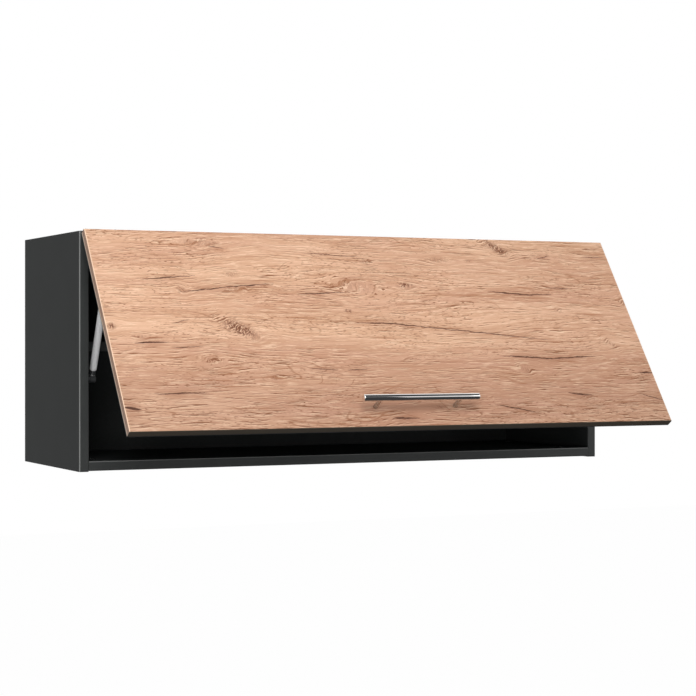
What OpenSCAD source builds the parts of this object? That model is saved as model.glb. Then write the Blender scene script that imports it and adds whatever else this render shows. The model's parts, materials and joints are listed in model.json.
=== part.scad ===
// Lift-up kitchen wall cabinet: laminated board carcass, one top-hung wood door on
// two concealed cup hinges, two gas struts, bar handle, corner hangers.
// X is the width, the wall is at Y = 0 and the front faces -Y, Z is up.
// Z = 0 is the middle of the top panel's edge. The door stands part open, as modelled.

/* [Carcass] */
// Outside width of the carcass
cabinet_w = 1000; // [800:10:1200]
// Outside height of the side panels
cabinet_h = 396; // [350:2:480]
// Outside depth of the carcass
cabinet_d = 320; // [290:5:400]
// Thickness of the laminated board
board_t = 16; // [15:1:19]
// Thickness of the hardboard back
back_t = 3; // [2.5:0.5:4]
// Space behind the back for the wall plates
back_inset = 16; // [14:1:22]
// Thickness of the edge banding
band_t = 2; // [0.5:0.1:2.5]
// How far the side panels reach below the bottom panel
side_drop = 1.2; // [0:0.2:3]
// Depth of the grooves that hold the back
groove_depth = 8; // [6:0.5:9]

/* [Shelf] */
// Height of the shelf's upper face below the carcass top
shelf_drop = 182; // [150:0.5:230]
// How far the shelf's front edge lies behind the carcass front
shelf_setback = 92; // [86:1:140]
// Diameter of the shelf pins
pin_d = 5; // [4:0.5:6]
// Number of pin holes in a row
pin_rows = 3; // [1:2:5]

/* [Door] */
// Thickness of the door
door_t = 16; // [15:1:22]
// Gap between the door and each end of the carcass
door_side_gap = 1; // [0.5:0.5:3]
// How far the door's top edge lies below the carcass top
door_top_drop = 2; // [1:0.5:4]
// Gap between the closed door and the carcass front
door_gap = 2.5; // [2:0.5:4]
// Radius of the door's edges
door_edge_r = 2; // [0.5:0.5:3]
// Angle at which the door stands open as modelled
door_rest = 35; // [20:1:50]

/* [Handle] */
// Length of the handle bar
handle_l = 214; // [140:2:400]
// Distance between the handle's posts
handle_cc = 148; // [96:4:320]
// Diameter of the handle bar
handle_d = 12; // [10:1:16]
// Distance of the bar's axis from the door
handle_out = 28; // [24:1:40]
// Distance of the handle above the door's bottom edge
handle_up = 38; // [25:1:80]
// Offset of the handle towards the right
handle_shift = 4; // [-20:1:20]
// Diameter of the handle's posts
post_d = 8; // [6:1:10]

/* [Hinges] */
// Distance of a hinge's middle from the end of the carcass
hinge_inset = 100; // [80:5:200]
// Diameter of the hinge cup
cup_d = 35; // [26:1:40]
// Depth of the hinge cup
cup_depth = 12; // [11.5:0.5:13]
// Distance from the door's top edge to the cup's centre
cup_edge = 22.5; // [21.5:0.5:24]
// Distance from the carcass front to the mounting plate's screws
plate_setback = 37; // [33:1:40]

/* [Gas struts] */
// Diameter of the strut's tube
tube_d = 12; // [11:0.5:18]
// Length of the strut's tube
tube_l = 111; // [108:1:112]
// Diameter of the strut's rod
rod_d = 6; // [5:0.5:8]
// Diameter of the ball studs
ball_d = 10; // [8:1:10]
// Distance of the strut's axis from the inside of the side panel
strut_in = 20; // [18:1:30]
// Distance of the side stud behind the carcass front
strut_back = 47; // [44:1:54]
// Distance of the side stud below the carcass top
strut_down = 244; // [236:1:250]
// Distance of the door stud below the carcass top when closed
door_stud_down = 73.5; // [68:0.5:78]
// Distance of the door stud from the back of the door
door_stud_out = 19.5; // [16:0.5:22]

/* [Hangers] */
// Width of a hanger's housing
hanger_w = 15; // [13:1:20]
// Height of a hanger's housing
hanger_h = 56; // [50:1:70]
// Width of a wall plate
wall_plate_w = 60; // [50:2:90]
// Spacing of a wall plate's holes
wall_hole_cc = 32; // [24:2:40]
// Diameter of a wall plate's holes
wall_hole_d = 6.5; // [5:0.5:8]

/* [Hidden] */
fit = 0.1;              // clearance of what is fitted into a bore or a groove
run = 0.3;              // clearance of what moves past something
$fn = 48;
half_w = cabinet_w / 2;
inner_x = half_w - board_t;
front_y = -cabinet_d;
board_y = front_y + band_t;
top_z = board_t / 2;
bottom_z = top_z - cabinet_h;
floor_z = bottom_z + side_drop;
roof_z = top_z - board_t;
back_y = -back_inset - back_t;

// Carcass fittings
cam_r = 7.5;
cam_h = 12.5;
cam_in = 24;
dowel_r = 4;
dowel_l = 30;
bolt_r = 3;
drill_in = 11;
cam_ys = [front_y + 60, front_y + cabinet_d - 70];
dowel_ys = [front_y + 92, front_y + cabinet_d - 102];

// Shelf
shelf_top = top_z - shelf_drop;
shelf_z = shelf_top - board_t;
shelf_y = front_y + shelf_setback;
shelf_gap = 0.5;
pin_pitch = 32;
pin_z = shelf_z - pin_d / 2;
pin_ys = [shelf_y + 37, back_y - 37];

// Door, drawn closed and then turned about the axis that its hinge links give it
pivot = [front_y - 11.5, top_z + 2.5];
door_half = half_w - door_side_gap;
door_back = front_y - door_gap;
door_front = door_back - door_t;
door_top = top_z - door_top_drop;
door_low = bottom_z;
buffer_r = 5;
buffer_t = 2;
buffer_in = 2;

// Handle
handle_x = handle_shift;
handle_z = door_low + handle_up;
handle_y = door_front - handle_out;
handle_screw_r = 2;

// Hinge: points are [y, z] with the door closed
hinge_x = half_w - hinge_inset;
cup_z = door_top - cup_edge;
cup_wall = 1.9;
cup_bore_r = cup_d / 2 - cup_wall;
flange_t = 1.2;
cup_floor = 1.5;
ear_drop = 9.5;
ear_cc = 45;
cheek_t = 1.5;
arm_back = 60;
arm_floor = roof_z - 8.5;
arm_top = roof_z - 2.7;
inner_half = 2.9;
arm_half = inner_half + run + cheek_t;
outer_half = arm_half + run + 1.4;
lug_x = outer_half + 1.6;
short_head = [door_back - 1.2, cup_z + cup_bore_r - 4.6];
long_head = [door_back - 1, short_head[1] - 5];
short_foot = foot(short_head, 1.42);
long_foot = foot(long_head, 1.63);
link_r = 2.1;
pivot_r = 1;
nose_r = 3.3;
plate_cc = 32;
plate_t = 2.4;

// Gas strut
strut_x = -inner_x + strut_in;
side_stud = [front_y + strut_back, top_z - strut_down];
door_stud = at_rest([door_back + door_stud_out, top_z - door_stud_down]);
strut_run = door_stud - side_stud;
strut_len = norm(strut_run);
strut_tilt = atan2(-strut_run[0], strut_run[1]);
socket_half = 5.5;
socket_r = 6.5;
lower_fit = 16;
upper_fit = 12;
stud_r = 3;
tube_wall = 1.2;
gland_t = 3;
piston_t = 2;
piston_at = 48;
bracket_t = 2;

// Hangers
hanger_x = -inner_x;
hanger_front = back_y - 34;
hanger_top = roof_z - 3;
hook_t = 3;
hook_x = hanger_x + hanger_w / 2;
lip_z = top_z - 30;
lip_y = -9.5;
lip_t = 1.5;
wall_plate_x = hanger_x + run;
wall_hole_z = top_z - 54;
wall_plate_low = wall_hole_z - 12;
wall_step_z = wall_hole_z + 12;

// A [y, z] point turned by an angle, in the direction in which the door opens
function turned(p, a) = [p[0] * cos(a) + p[1] * sin(a), p[1] * cos(a) - p[0] * sin(a)];
// Where a point of the closed door lies with the door open as modelled
function at_rest(p) = pivot + turned(p - pivot, door_rest);
// A link's foot lies on the line that halves the way of its head from closed to rest,
// so that its length is the same in both
function foot(p, s) = pivot + s * turned(p - pivot, door_rest / 2);

// Box between two corners
module box(low, high) {
  translate(low) cube(high - low);
}
// Left-hand part as drawn, or its mirror image
module side(right) {
  mirror([right ? 1 : 0, 0, 0]) children();
}
module both_sides() {
  for (right = [false, true]) side(right) children();
}
// Turns what is drawn on the closed door to its place
module on_door() {
  translate([0, pivot[0], pivot[1]]) rotate([-door_rest, 0, 0])
    translate([0, -pivot[0], -pivot[1]]) children();
}
// Extrudes a [y, z] outline along X
module across(x0, x1) {
  translate([x0, 0, 0]) rotate([90, 0, 90]) linear_extrude(x1 - x0) children();
}
// Round bar along X, Y or Z from a point
module bar_x(p, r, l) {
  translate(p) rotate([0, 90, 0]) cylinder(r = r, h = l);
}
module bar_y(p, r, l) {
  translate(p) rotate([-90, 0, 0]) cylinder(r = r, h = l);
}
// Rectangle with round corners, from its lower corner
module round_rect(size, r) {
  translate([r, 0]) square([size[0] - 2 * r, size[1]]);
  translate([0, r]) square([size[0], size[1] - 2 * r]);
  for (x = [r, size[0] - r], y = [r, size[1] - r]) translate([x, y]) circle(r);
}
// Outline of a link between two points
module link_shape(p, q, r) {
  d = q - p;
  translate(p) rotate(atan2(d[1], d[0])) {
    circle(r);
    translate([norm(d), 0]) circle(r);
    translate([0, -r]) square([norm(d), 2 * r]);
  }
}

// Carcass -------------------------------------------------------------------
module side_panel() {
  difference() {
    box([-half_w, board_y, bottom_z], [-inner_x, 0, top_z]);
    box([-inner_x - groove_depth, back_y - fit, floor_z + board_t - groove_depth],
      [1 - inner_x, fit - back_inset, roof_z + groove_depth]);
    for (z = [top_z - board_t / 2, floor_z + board_t / 2]) {
      for (y = cam_ys) bar_x([-inner_x - drill_in - fit, y, z], bolt_r + fit, drill_in + 1);
      for (y = dowel_ys)
        bar_x([-inner_x - drill_in - fit, y, z], dowel_r + fit, drill_in + 1);
    }
    for (y = pin_ys, k = [0 : pin_rows - 1])
      bar_x([-inner_x - drill_in, y, pin_z + (k - (pin_rows - 1) / 2) * pin_pitch],
        pin_d / 2 + fit / 2, drill_in + 1);
  }
}

// Panel between the sides, drawn with its fitted face up
module cross_panel() {
  difference() {
    box([-inner_x, board_y, 0], [inner_x, 0, board_t]);
    box([-inner_x - 1, back_y - fit, board_t - groove_depth],
      [inner_x + 1, fit - back_inset, board_t + 1]);
    both_sides() {
      for (y = cam_ys) {
        translate([cam_in - inner_x, y, board_t - cam_h - fit])
          cylinder(r = cam_r + fit, h = cam_h + 1);
        bar_x([-inner_x - 1, y, board_t / 2], bolt_r + 1, cam_in + 1);
      }
      for (y = dowel_ys)
        bar_x([-inner_x - 1, y, board_t / 2], dowel_r + fit, dowel_l - drill_in + 1 + fit);
    }
  }
}

module top_panel() {
  difference() {
    translate([0, 0, top_z]) mirror([0, 0, 1]) cross_panel();
    both_sides() for (x = [-1, 1])
      translate([-hinge_x + x * plate_cc / 2, front_y + plate_setback, roof_z - 1])
        cylinder(r = 1.8 + fit, h = 13.5);
  }
}

module bottom_panel() {
  translate([0, 0, floor_z]) cross_panel();
}

module back_panel() {
  reach = groove_depth - 1;
  difference() {
    box([-inner_x - reach, back_y, floor_z + board_t - reach],
      [inner_x + reach, -back_inset, roof_z + reach]);
    both_sides() box([hanger_x + 2, back_y - 1, lip_z - 12],
      [hanger_x + hanger_w - 2, 1 - back_inset, lip_z + 11]);
  }
}

module shelf() {
  box([shelf_gap - inner_x, shelf_y + band_t, shelf_z],
    [inner_x - shelf_gap, back_y - shelf_gap, shelf_top]);
}

// A band has its two front arrises rounded
module band(length, width) {
  r = band_t * 0.9;
  linear_extrude(length) difference() {
    square([width, band_t]);
    for (x = [0, width]) difference() {
      translate([x - r, 0]) square([2 * r, r]);
      translate([x == 0 ? r : width - r, r]) circle(r);
      translate([x == 0 ? r : width - 2 * r, 0]) square([r, r]);
    }
  }
}
module edge_bands() {
  both_sides() translate([-half_w, front_y, bottom_z]) band(cabinet_h, board_t);
  for (e = [[roof_z, front_y, inner_x], [floor_z, front_y, inner_x],
      [shelf_z, shelf_y, inner_x - shelf_gap]])
    translate([-e[2], e[1], e[0]]) rotate([90, 0, 90]) mirror([1, -1, 0])
      band(2 * e[2], board_t);
}

module cam_locks() {
  for (up = [0, 1]) translate([0, 0, up ? top_z : floor_z]) mirror([0, 0, up])
    both_sides() for (y = cam_ys) difference() {
      translate([cam_in - inner_x, y, board_t - cam_h]) cylinder(r = cam_r, h = cam_h);
      bar_x([-inner_x, y, board_t / 2], bolt_r + 1, cam_in);
      translate([cam_in - inner_x - 5, y - 0.75, board_t - 1.5]) cube([10, 1.5, 2]);
      translate([cam_in - inner_x - 0.75, y - 5, board_t - 1.5]) cube([1.5, 10, 2]);
    }
}
module cam_bolts() {
  both_sides() for (z = [roof_z, floor_z], y = cam_ys) {
    bar_x([-inner_x - drill_in, y, z + board_t / 2], bolt_r, drill_in + cam_in - 3);
    bar_x([-inner_x + cam_in - 3, y, z + board_t / 2], bolt_r + 0.7, 3);
  }
}
module dowels() {
  both_sides() for (z = [roof_z, floor_z], y = dowel_ys)
    bar_x([-inner_x - drill_in, y, z + board_t / 2], dowel_r, dowel_l);
}
module shelf_pins() {
  both_sides() for (y = pin_ys) {
    bar_x([-inner_x - drill_in + 1, y, pin_z], pin_d / 2, drill_in + 6);
    translate([-inner_x + 7, y, pin_z]) sphere(pin_d / 2);
  }
}

// Hangers -------------------------------------------------------------------
module hanger() {
  low = hanger_top - hanger_h;
  difference() {
    union() {
      translate([hanger_x, back_y, low]) rotate([90, 0, 0])
        linear_extrude(back_y - hanger_front) round_rect([hanger_w, hanger_h], 2.5);
      box([hanger_x, hanger_front + 6, low - 9], [hanger_x + 2, back_y - 6, low + 4]);
    }
    across(hook_x - hook_t / 2 - fit, hook_x + hook_t / 2 + fit)
      translate([hanger_front + 6, lip_z - fit]) square([30, 8 + 2 * fit]);
    for (z = [low + 14, low + 27])
      bar_y([hook_x, hanger_front - 1, z], 3 + fit, 9);
    bar_x([hanger_x - 1, (hanger_front + back_y) / 2, low - 4.5], 1.8 + fit, 5);
  }
}
module hanger_hooks() {
  both_sides() across(hook_x - hook_t / 2, hook_x + hook_t / 2) {
    translate([hanger_front + 7, lip_z]) square([lip_y - hanger_front - 4, 8]);
    translate([lip_y + lip_t + 0.5, lip_z - 9]) round_rect([3.5, 17], 1);
  }
}
module hanger_screws() {
  low = hanger_top - hanger_h;
  both_sides() {
    for (z = [low + 14, low + 27]) difference() {
      bar_y([hook_x, hanger_front + 0.5, z], 3, 7.4);
      box([hook_x - 2, hanger_front, z - 0.5], [hook_x + 2, hanger_front + 2, z + 0.5]);
      box([hook_x - 0.5, hanger_front, z - 2], [hook_x + 0.5, hanger_front + 2, z + 2]);
    }
    bar_x([hanger_x, (hanger_front + back_y) / 2, low - 4.5], 1.8, 2);
    bar_x([hanger_x + 2, (hanger_front + back_y) / 2, low - 4.5], 3.5, 1.6);
  }
}
module wall_plate() {
  difference() {
    across(wall_plate_x, wall_plate_x + wall_plate_w) {
      translate([-lip_t, wall_plate_low]) square([lip_t, wall_step_z - wall_plate_low + lip_t]);
      translate([lip_y, wall_step_z]) square([-lip_y, lip_t]);
      translate([lip_y, wall_step_z]) square([lip_t, lip_z - wall_step_z]);
    }
    for (s = [-1, 1])
      bar_y([wall_plate_x + wall_plate_w / 2 + s * wall_hole_cc / 2, -lip_t - 1, wall_hole_z],
        wall_hole_d / 2, lip_t + 2);
  }
}

// Door ----------------------------------------------------------------------
module door_panel() {
  height = door_top - door_low;
  on_door() difference() {
    intersection() {
      across(-door_half, door_half)
        translate([door_front, door_low]) round_rect([door_t, height], door_edge_r);
      translate([-door_half, door_front, door_low]) linear_extrude(height)
        round_rect([2 * door_half, door_t], door_edge_r);
    }
    both_sides() {
      bar_y([-hinge_x, door_back - cup_depth - fit, cup_z], cup_d / 2, cup_depth + 1);
      for (s = [-1, 1])
        bar_y([s * ear_cc / 2 - hinge_x, door_back - 10, cup_z - ear_drop], 1.7, 11);
      for (s = [-1, 1])
        bar_y([strut_x + 11, door_back - 10, top_z - door_stud_down + s * 8], 1.7, 11);
    }
    for (s = [-1, 1])
      bar_y([handle_x + s * handle_cc / 2, door_front - 1, handle_z],
        handle_screw_r + 0.2, door_t + 2);
  }
}
module door_buffers() {
  on_door() both_sides()
    bar_y([buffer_in + buffer_r - door_half, door_back, door_low + board_t / 2], buffer_r,
      buffer_t);
}
module handle_bar() {
  on_door() difference() {
    translate([handle_x - handle_l / 2, handle_y, handle_z]) rotate([0, 90, 0])
      rotate_extrude() {
        square([handle_d / 2 - 0.8, handle_l]);
        translate([0, 0.8]) square([handle_d / 2, handle_l - 1.6]);
        for (z = [0.8, handle_l - 0.8]) translate([handle_d / 2 - 0.8, z]) circle(0.8);
      }
    for (s = [-1, 1])
      bar_y([handle_x + s * handle_cc / 2, handle_y, handle_z], post_d / 2 - 1 + fit,
        handle_d);
  }
}
module handle_posts() {
  on_door() for (s = [-1, 1]) difference() {
    union() {
      bar_y([handle_x + s * handle_cc / 2, handle_y + 0.5, handle_z], post_d / 2 - 1,
        handle_out - 0.5);
      difference() {
        bar_y([handle_x + s * handle_cc / 2, handle_y, handle_z], post_d / 2, handle_out);
        bar_x([-door_half, handle_y, handle_z], handle_d / 2, 2 * door_half);
      }
    }
    bar_y([handle_x + s * handle_cc / 2, door_front - 14, handle_z], handle_screw_r + 0.05, 15);
  }
}
module handle_screws() {
  on_door() for (s = [-1, 1]) difference() {
    union() {
      bar_y([handle_x + s * handle_cc / 2, door_front - 12, handle_z], handle_screw_r,
        door_t + 12);
      bar_y([handle_x + s * handle_cc / 2, door_back, handle_z], 4, 2);
    }
    translate([handle_x + s * handle_cc / 2 - 2.5, door_back + 1.2, handle_z - 0.5])
      cube([5, 1, 1]);
    translate([handle_x + s * handle_cc / 2 - 0.5, door_back + 1.2, handle_z - 2.5])
      cube([1, 1, 5]);
  }
}

// Hinges, drawn on the left -------------------------------------------------
module cup_outline() {
  circle(cup_d / 2 + 1.5);
  translate([-ear_cc / 2 - 6.5, -ear_drop - 7]) round_rect([ear_cc + 13, 14], 5);
}
module hinge_cup() {
  floor_y = door_back - cup_depth + cup_floor;
  on_door() difference() {
    union() {
      bar_y([-hinge_x, door_back - cup_depth, cup_z], cup_d / 2 - fit, cup_depth);
      translate([-hinge_x, door_back + flange_t, cup_z]) rotate([90, 0, 0])
        linear_extrude(flange_t) cup_outline();
    }
    difference() {
      bar_y([-hinge_x, floor_y, cup_z], cup_bore_r, cup_depth);
      for (s = [-1, 1]) translate([s * (lug_x + 10) - hinge_x - 10, floor_y - 1, cup_z + 2])
        cube([20, cup_depth - cup_floor + 2, 20]);
    }
    translate([-hinge_x - lug_x + 0.5, door_back - 1.4, cup_z + 8])
      cube([2 * lug_x - 1, 4, 20]);
    for (p = [short_head, long_head])
      bar_x([-hinge_x - lug_x - 2, p[0], p[1]], pivot_r + fit / 2, 2 * lug_x + 4);
    for (s = [-1, 1])
      bar_y([s * ear_cc / 2 - hinge_x, door_back - 1, cup_z - ear_drop], 1.8 + fit, 4);
  }
}
module hinge_cup_screws() {
  on_door() both_sides() for (s = [-1, 1]) {
    bar_y([s * ear_cc / 2 - hinge_x, door_back - 9.5, cup_z - ear_drop], 1.6, 9.5 + flange_t);
    bar_y([s * ear_cc / 2 - hinge_x, door_back + flange_t, cup_z - ear_drop], 3.6, 1);
  }
}
// The short link's pin crosses the cup, the long link's pins stop beside the arm
module hinge_cup_pins() {
  reach = lug_x + 2;
  inside = arm_half + run;
  on_door() translate([-hinge_x, 0, 0]) {
    bar_x([-reach, short_head[0], short_head[1]], pivot_r, 2 * reach);
    for (x = [-reach, inside]) bar_x([x, long_head[0], long_head[1]], pivot_r, reach - inside);
  }
}
// Side view of the arm: a straight channel that drops to the two link pivots
module arm_outline() {
  nose = 2.6;
  translate([front_y + 6, arm_floor]) square([arm_back - 6, arm_top - arm_floor]);
  translate(short_foot) circle(nose_r);
  translate(long_foot) circle(nose);
  polygon([[front_y + 8, arm_top], [short_foot[0], short_foot[1] + nose_r],
    [short_foot[0] - nose_r, short_foot[1]], [long_foot[0] - nose, long_foot[1]],
    [long_foot[0], long_foot[1] - nose], [long_foot[0] + nose, long_foot[1]],
    [front_y - 1.5, arm_floor - 3.5], [front_y + 8, arm_floor]]);
}
module hinge_arm() {
  translate([-hinge_x, 0, 0]) difference() {
    union() {
      for (s = [-1, 1]) translate([s * (arm_half - cheek_t / 2), 0, 0])
        across(-cheek_t / 2, cheek_t / 2) arm_outline();
      box([-arm_half, front_y + 10, arm_floor], [arm_half, front_y + arm_back,
        arm_floor + cheek_t]);
    }
    for (p = [short_foot, long_foot])
      bar_x([-arm_half - 1, p[0], p[1]], pivot_r, 2 * arm_half + 2);
    translate([0, front_y + 48, arm_floor - 1]) cylinder(r = 2 + fit, h = 4);
    translate([0, front_y + 22, arm_floor - 1]) cylinder(r = 2 + fit, h = 4);
  }
}
module hinge_plate() {
  rail = inner_half - fit;
  y = front_y + plate_setback;
  translate([-hinge_x, 0, 0]) difference() {
    union() {
      translate([-plate_cc / 2 - 8, y - 7, roof_z - plate_t]) linear_extrude(plate_t)
        round_rect([plate_cc + 16, 14], 5);
      box([-rail, front_y + 14, arm_floor + cheek_t], [rail, front_y + arm_back - 2, roof_z]);
    }
    for (s = [-1, 1]) translate([s * plate_cc / 2, y, roof_z - plate_t - 1])
      cylinder(r = 1.8 + fit, h = plate_t + 2);
    for (b = [48, 22]) translate([0, front_y + b, arm_floor]) cylinder(r = 2 + fit, h = 6);
  }
}
module hinge_plate_screws() {
  both_sides() translate([-hinge_x, 0, 0]) {
    for (s = [-1, 1]) translate([s * plate_cc / 2, front_y + plate_setback, 0]) {
      translate([0, 0, roof_z - plate_t]) cylinder(r = 1.8, h = plate_t + 12);
      translate([0, 0, roof_z - plate_t - 1.6]) cylinder(r = 3.6, h = 1.6);
    }
    for (b = [48, 22]) translate([0, front_y + b, arm_floor]) {
      cylinder(r = 2, h = 5.5);
      translate([0, 0, -1.6]) difference() {
        cylinder(r = 3.4, h = 1.6);
        translate([-2.2, -0.4, -1]) cube([4.4, 0.8, 1.8]);
        translate([-0.4, -2.2, -1]) cube([0.8, 4.4, 1.8]);
      }
    }
  }
}
// Links: the head turns on the cup's pin, the foot's solid eye lies beside the arm's rivet
module short_link() {
  head = at_rest(short_head);
  translate([-hinge_x, 0, 0]) across(-inner_half, inner_half) difference() {
    link_shape(short_foot, head, link_r);
    translate(head) circle(pivot_r + fit);
  }
}
module long_link() {
  head = at_rest(long_head);
  for (s = [-1, 1]) translate([-hinge_x + s * (arm_half + run + 0.7), 0, 0])
    across(-0.7, 0.7) difference() {
      link_shape(long_foot, head, link_r);
      translate(head) circle(pivot_r + fit);
    }
}
module hinge_arm_pins() {
  both_sides() for (s = [-1, 1], p = [short_foot, long_foot])
    bar_x([s * (arm_half - cheek_t / 2) - cheek_t / 2 - hinge_x, p[0], p[1]], pivot_r, cheek_t);
}

// Gas struts, drawn on the left: along the strut, 0 is the side stud's ball ---
module along_strut(x = strut_x) {
  translate([x, side_stud[0], side_stud[1]]) rotate([strut_tilt, 0, 0]) children();
}
module strut_tube() {
  r = tube_d / 2;
  round_r = 3;
  along_strut() translate([0, 0, lower_fit]) rotate_extrude() difference() {
    union() {
      square([r - round_r, tube_l]);
      translate([0, round_r]) square([r, tube_l - round_r - 1]);
      translate([r - round_r, round_r]) circle(round_r);
      translate([0, tube_l - 1]) square([r - 1, 1]);
      translate([r - 1, tube_l - 1]) circle(1);
    }
    translate([0, round_r]) square([r - tube_wall, tube_l]);
    translate([-round_r * 3, -1]) square([round_r * 3, tube_l + 2]);
  }
}
module strut_gland() {
  along_strut() translate([0, 0, lower_fit + tube_l - gland_t]) difference() {
    cylinder(r = tube_d / 2 - tube_wall - fit / 2, h = gland_t + 0.5);
    translate([0, 0, -1]) cylinder(r = rod_d / 2 + fit, h = gland_t + 3);
  }
}
module strut_rod() {
  start = lower_fit + piston_at;
  along_strut() {
    translate([0, 0, start]) cylinder(r = rod_d / 2, h = strut_len - upper_fit - start);
    translate([0, 0, start]) cylinder(r = tube_d / 2 - tube_wall - 0.2,
      h = piston_t);
  }
}
// Moulded socket that snaps over a ball, with its opening towards the side panel
module socket(length, neck_r) {
  difference() {
    union() {
      translate([-socket_half, 0, 0]) rotate([0, 90, 0]) cylinder(r = socket_r,
        h = 2 * socket_half);
      translate([0, 0, 4]) cylinder(r1 = socket_half, r2 = neck_r, h = length - 9);
      translate([0, 0, length - 5]) cylinder(r = neck_r, h = 5);
    }
    sphere(ball_d / 2 + fit);
    translate([-socket_half - 1, 0, 0]) rotate([0, 90, 0]) cylinder(r = stud_r + 0.6,
      h = socket_half + 1);
  }
}
module lower_socket() {
  along_strut() socket(lower_fit, 4.6);
}
module upper_socket() {
  along_strut() translate([0, 0, strut_len]) mirror([0, 0, 1]) socket(upper_fit, 4.6);
}
module side_ball() {
  translate([strut_x, side_stud[0], side_stud[1]]) {
    sphere(ball_d / 2);
    translate([-socket_half, 0, 0]) rotate([0, 90, 0]) cylinder(r = stud_r, h = socket_half);
  }
}
module side_bracket() {
  reach = strut_in - socket_half - run;
  translate([-inner_x, side_stud[0], side_stud[1]]) difference() {
    union() {
      rotate([90, 0, 90]) translate([-13, -22]) linear_extrude(bracket_t)
        round_rect([26, 44], 6);
      rotate([0, 90, 0]) cylinder(r = 6, h = bracket_t + 1.5);
      rotate([0, 90, 0]) cylinder(r = stud_r, h = reach);
    }
    for (z = [-16, 16]) bar_x([-1, 0, z], 1.8 + fit, bracket_t + 2);
  }
}
module side_bracket_screws() {
  both_sides() for (z = [-16, 16]) translate([-inner_x, side_stud[0], side_stud[1] + z]) {
    rotate([0, 90, 0]) cylinder(r = 1.8, h = bracket_t);
    translate([bracket_t, 0, 0]) rotate([0, 90, 0]) cylinder(r1 = 3.6, r2 = 2.4, h = 1.8);
  }
}
// Plate on the back of the door with an upright ear that carries the ball
module door_bracket() {
  z = top_z - door_stud_down;
  ear_x = strut_x - socket_half - run;
  on_door() difference() {
    union() {
      translate([ear_x - bracket_t, door_back + bracket_t, z - 14]) rotate([90, 0, 0])
        linear_extrude(bracket_t) round_rect([26, 28], 3);
      across(ear_x - bracket_t, ear_x)
        link_shape([door_back + 6, z], [door_back + door_stud_out, z], 6);
      across(ear_x - bracket_t, ear_x)
        translate([door_back, z - 11]) square([7, 22]);
      bar_x([ear_x - 1, door_back + door_stud_out, z], stud_r, strut_x - ear_x);
      translate([strut_x, door_back + door_stud_out, z]) sphere(ball_d / 2);
    }
    for (s = [-1, 1]) bar_y([strut_x + 11, door_back - 1, z + s * 8], 1.8 + fit, 4);
  }
}
module door_bracket_screws() {
  z = top_z - door_stud_down;
  on_door() both_sides() for (s = [-1, 1]) {
    bar_y([strut_x + 11, door_back - 9.5, z + s * 8], 1.6, 9.5 + bracket_t);
    bar_y([strut_x + 11, door_back + bracket_t, z + s * 8], 3.4, 1.4);
  }
}

graphite = [0.24, 0.25, 0.25];
oak = [0.80, 0.63, 0.47];
steel = [0.72, 0.73, 0.74];
plastic = [0.2, 0.2, 0.21];

color(graphite) side(false) side_panel();  // left_side_panel
color(graphite) side(true) side_panel();  // right_side_panel
color(graphite) top_panel();
color(graphite) bottom_panel();
color([0.3, 0.3, 0.3]) back_panel();
color(graphite) shelf();
color([0.34, 0.35, 0.35]) edge_bands();
color(steel) cam_locks();
color(steel) cam_bolts();
color("burlywood") dowels();
color(steel) shelf_pins();
color("white") side(false) hanger();  // left_hanger
color("white") side(true) hanger();  // right_hanger
color(steel) hanger_hooks();
color(steel) hanger_screws();
color(steel) side(false) wall_plate();  // left_wall_plate
color(steel) side(true) wall_plate();  // right_wall_plate
color(oak) door_panel();
color("whitesmoke") door_buffers();
color(steel) handle_bar();
color(steel) handle_posts();
color(steel) handle_screws();
color(steel) side(false) hinge_cup();  // left_hinge_cup
color(steel) side(true) hinge_cup();  // right_hinge_cup
color(steel) side(false) hinge_arm();  // left_hinge_arm
color(steel) side(true) hinge_arm();  // right_hinge_arm
color(steel) side(false) hinge_plate();  // left_hinge_plate
color(steel) side(true) hinge_plate();  // right_hinge_plate
color(steel) side(false) short_link();  // left_short_link
color(steel) side(true) short_link();  // right_short_link
color(steel) side(false) long_link();  // left_long_link
color(steel) side(true) long_link();  // right_long_link
color(steel) side(false) hinge_cup_pins();  // left_hinge_cup_pins
color(steel) side(true) hinge_cup_pins();  // right_hinge_cup_pins
color(steel) hinge_arm_pins();
color(steel) hinge_plate_screws();
color(steel) hinge_cup_screws();
color("white") side(false) strut_tube();  // left_strut_tube
color("white") side(true) strut_tube();  // right_strut_tube
color(plastic) side(false) strut_gland();  // left_strut_gland
color(plastic) side(true) strut_gland();  // right_strut_gland
color(steel) side(false) strut_rod();  // left_strut_rod
color(steel) side(true) strut_rod();  // right_strut_rod
color(plastic) side(false) lower_socket();  // left_lower_socket
color(plastic) side(true) lower_socket();  // right_lower_socket
color(plastic) side(false) upper_socket();  // left_upper_socket
color(plastic) side(true) upper_socket();  // right_upper_socket
color(steel) side(false) side_ball();  // left_side_ball
color(steel) side(true) side_ball();  // right_side_ball
color(steel) side(false) side_bracket();  // left_side_bracket
color(steel) side(true) side_bracket();  // right_side_bracket
color(steel) side(false) door_bracket();  // left_door_bracket
color(steel) side(true) door_bracket();  // right_door_bracket
color(steel) side_bracket_screws();
color(steel) door_bracket_screws();
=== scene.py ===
# %% [markdown]
# # A lift-up wall cabinet
# A low, wide wall unit of dark grey board. Its one door is hung at the top, covered with
# an oak decor, and stands open on two gas struts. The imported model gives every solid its
# place and its motion. This file gives them their finishes, and makes the turned and
# polished pieces again as smooth surfaces.

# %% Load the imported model
import json
import math

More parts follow.
